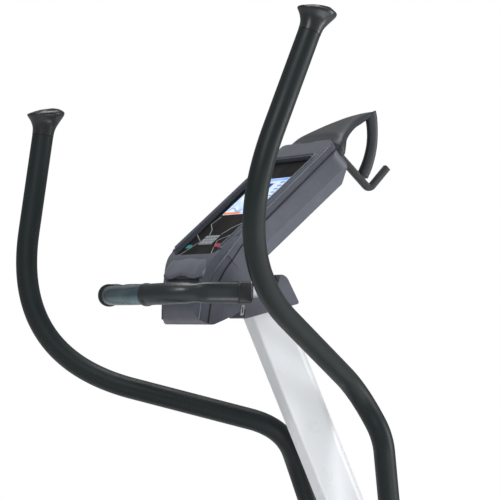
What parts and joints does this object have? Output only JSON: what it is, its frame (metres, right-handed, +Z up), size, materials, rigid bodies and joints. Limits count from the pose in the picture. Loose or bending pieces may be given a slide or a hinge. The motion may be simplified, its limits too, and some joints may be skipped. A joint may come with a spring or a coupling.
{
  "type": "elliptical trainer",
  "caption": "Elliptical cross trainer: leaning mast with sloped console, hooded top and towel hook, fixed loop handlebar, swinging arms linked to pedal bars, crank and flywheel.",
  "frame": {"origin": "on the floor under the middle of the bounding box", "axes": "+X the way the user faces, +Y to the user's left, +Z up"},
  "size_m": [1.86, 0.6134, 1.7114],
  "materials": {
    "frame_paint": "satin charcoal powder coat",
    "mast_paint": "satin pale silver paint",
    "sleeve_rubber": "smooth charcoal sleeve with a slight sheen",
    "grip_rubber": "smooth black-green grip",
    "steel": "turned steel",
    "black_plastic": "moulded black",
    "console_plastic": "fine-grained slate grey moulding",
    "hood_plastic": "fine-grained dark grey moulding",
    "gloss_panel": "polished black overlay",
    "screen_glass": "lit display behind a clear window",
    "silver_key": "silver membrane",
    "teal_key": "teal",
    "red_key": "red",
    "board_green": "solder mask",
    "bronze": "sintered bush",
    "cast_iron": "machined rim",
    "housing_plastic": "fine-grained charcoal moulding",
    "belt_rubber": "ribbed belt"
  },
  "bodies": {
    "frame": {"base_frame": "frame_paint", "front_stabiliser": "frame_paint", "rear_stabiliser": "frame_paint", "front_foot_cap_right": "black_plastic", "front_foot_cap_left": "black_plastic", "rear_foot_cap_right": "black_plastic", "rear_foot_cap_left": "black_plastic", "mast": "mast_paint", "mast_socket": "frame_paint", "mast_cover": "black_plastic", "pivot_bracket": "frame_paint", "pivot_axle": "steel", "crank_bearing_right": "steel", "crank_bearing_left": "steel", "flywheel_axle": "steel", "drive_belt": "belt_rubber", "drive_housing_right": "housing_plastic", "drive_housing_left": "housing_plastic", "console_front_shell": "console_plastic", "console_rear_shell": "console_plastic", "console_hood": "hood_plastic", "console_panel": "gloss_panel", "screen": "screen_glass", "circuit_board": "board_green", "console_bracket": "frame_paint", "accessory_hook": "black_plastic", "fixed_handlebar": "steel", "handlebar_elbow_right": "black_plastic", "handlebar_elbow_left": "black_plastic", "fixed_grip_right": "grip_rubber", "fixed_grip_left": "grip_rubber", "handlebar_clamp": "frame_paint"},
    "arm_right": {"handlebar_tube_right": "steel", "handlebar_sleeve_right": "sleeve_rubber", "handlebar_cap_right": "black_plastic", "swing_arm_right": "frame_paint", "arm_bush_right": "bronze"},
    "pedal_bar_right": {"pedal_bar_right": "frame_paint", "link_pin_right": "steel", "pedal_right": "black_plastic"},
    "wheel_right": {"transport_wheel_right": "black_plastic"},
    "arm_left": {"handlebar_tube_left": "steel", "handlebar_sleeve_left": "sleeve_rubber", "handlebar_cap_left": "black_plastic", "swing_arm_left": "frame_paint", "arm_bush_left": "bronze"},
    "pedal_bar_left": {"pedal_bar_left": "frame_paint", "link_pin_left": "steel", "pedal_left": "black_plastic"},
    "wheel_left": {"transport_wheel_left": "black_plastic"},
    "crank": {"crank_axle": "steel", "crank_arm_right": "steel", "crank_arm_left": "steel", "drive_pulley": "black_plastic"},
    "flywheel": {"flywheel": "cast_iron"},
    "magnet_yoke": {"magnet_yoke": "steel"},
    "keypad": {"keypad": "silver_key"},
    "start_key": {"start_key": "teal_key"},
    "stop_key": {"stop_key": "red_key"}
  },
  "joints": [
    {"name": "arm_swing_right", "type": "hinge", "parent": "frame", "child": "arm_right", "pos_m": [0.65, 0, 0.66], "axis": [0, 1, 0], "range_deg": [-25.3, 10.7]},
    {"name": "arm_swing_left", "type": "hinge", "parent": "frame", "child": "arm_left", "pos_m": [0.65, 0, 0.66], "axis": [0, 1, 0], "range_deg": [-10.7, 25.3]},
    {"name": "pedal_hinge_right", "type": "hinge", "parent": "arm_right", "child": "pedal_bar_right", "pos_m": [0.55029, 0, 0.17366], "axis": [0, 1, 0], "range_deg": [-10.7, 25.3]},
    {"name": "pedal_hinge_left", "type": "hinge", "parent": "arm_left", "child": "pedal_bar_left", "pos_m": [0.67562, 0, 0.1642], "axis": [0, 1, 0], "range_deg": [-25.3, 10.7]},
    {"name": "crank_spin", "type": "hinge", "parent": "frame", "child": "crank", "pos_m": [-0.48, 0, 0.31], "axis": [0, 1, 0], "continuous": true},
    {"name": "flywheel_spin", "type": "hinge", "parent": "frame", "child": "flywheel", "pos_m": [-0.745, 0, 0.262], "axis": [0, 1, 0], "continuous": true},
    {"name": "magnet_tilt", "type": "hinge", "parent": "frame", "child": "magnet_yoke", "pos_m": [-0.62626, 0, 0.36163], "axis": [0, 1, 0], "range_deg": [0, 5]},
    {"name": "wheel_spin_right", "type": "hinge", "parent": "frame", "child": "wheel_right", "pos_m": [0.9075, -0.15, 0.038], "axis": [0, 1, 0], "continuous": true},
    {"name": "wheel_spin_left", "type": "hinge", "parent": "frame", "child": "wheel_left", "pos_m": [0.9075, 0.15, 0.038], "axis": [0, 1, 0], "continuous": true},
    {"name": "keypad_press", "type": "slide", "parent": "frame", "child": "keypad", "axis": [-0.6561, 0, 0.7547], "range_m": [-0.0015, 0], "stiffness_N_per_m": 200},
    {"name": "start_key_press", "type": "slide", "parent": "frame", "child": "start_key", "axis": [-0.6561, 0, 0.7547], "range_m": [-0.0015, 0], "stiffness_N_per_m": 200},
    {"name": "stop_key_press", "type": "slide", "parent": "frame", "child": "stop_key", "axis": [-0.6561, 0, 0.7547], "range_m": [-0.0015, 0], "stiffness_N_per_m": 200}
  ],
  "couplings": [
    {"joint": "arm_swing_left", "follows": "arm_swing_right", "ratio": -1},
    {"joint": "pedal_hinge_right", "follows": "arm_swing_right", "ratio": -1},
    {"joint": "pedal_hinge_left", "follows": "arm_swing_right", "ratio": 1},
    {"joint": "flywheel_spin", "follows": "crank_spin", "ratio": 5.3571}
  ]
}
